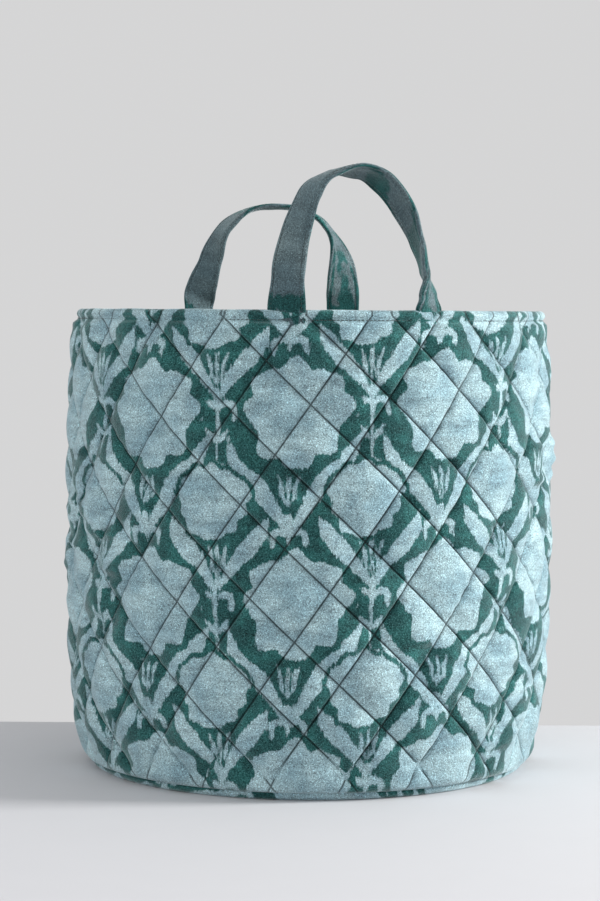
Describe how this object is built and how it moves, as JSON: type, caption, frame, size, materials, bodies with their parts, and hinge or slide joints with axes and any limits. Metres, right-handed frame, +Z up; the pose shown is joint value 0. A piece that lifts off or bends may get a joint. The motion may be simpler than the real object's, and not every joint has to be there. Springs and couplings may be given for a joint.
{
  "type": "sewing basket",
  "caption": "Round soft storage basket of diamond-quilted printed velvet over wadding, open at the top, with looped strap handles sewn into the rim that fold over it.",
  "frame": {"origin": "centre of the base's underside, on the surface that the basket stands on", "axes": "+Z up through the open top; -Y towards the front handle and +Y towards the back handle; X along the line through a handle's two ends"},
  "size_m": [0.38, 0.38, 0.4575],
  "materials": {
    "printed_velvet": "short-pile cotton velvet, pale teal figures with feathered edges on a deep green ground",
    "wadding": "needled polyester wadding",
    "lining_cotton": "plain-woven cotton, matt",
    "board": "plain greyboard",
    "seam_tape": "ribbed cotton tape",
    "webbing": "woven cotton webbing",
    "thread": "polyester sewing thread"
  },
  "bodies": {
    "basket": {"wall_face": "printed_velvet", "wall_wadding": "wadding", "wall_lining": "lining_cotton", "rim_facing": "printed_velvet", "rim_topstitch": "thread", "facing_hem_stitching": "thread", "side_seam_tape": "seam_tape", "side_seam_stitching": "thread", "base_face": "printed_velvet", "base_wadding": "wadding", "base_board": "board", "base_lining": "lining_cotton", "base_seam_binding": "seam_tape", "base_binding_stitching": "thread", "front_handle_left_end": "printed_velvet", "front_handle_right_end": "printed_velvet", "back_handle_left_end": "printed_velvet", "back_handle_right_end": "printed_velvet"},
    "front_handle": {"front_handle_cover": "printed_velvet", "front_handle_core": "webbing", "front_handle_stitching": "thread"},
    "back_handle": {"back_handle_cover": "printed_velvet", "back_handle_core": "webbing", "back_handle_stitching": "thread"}
  },
  "joints": [
    {"name": "front_handle_fold", "type": "hinge", "parent": "basket", "child": "front_handle", "pos_m": [0, -0.17201, 0.365], "axis": [1, 0, 0], "range_deg": [-120, 120], "stiffness_Nm_per_rad": 0.05},
    {"name": "back_handle_fold", "type": "hinge", "parent": "basket", "child": "back_handle", "pos_m": [0, 0.16867, 0.365], "axis": [1, 0, 0], "range_deg": [-120, 120], "stiffness_Nm_per_rad": 0.05}
  ]
}
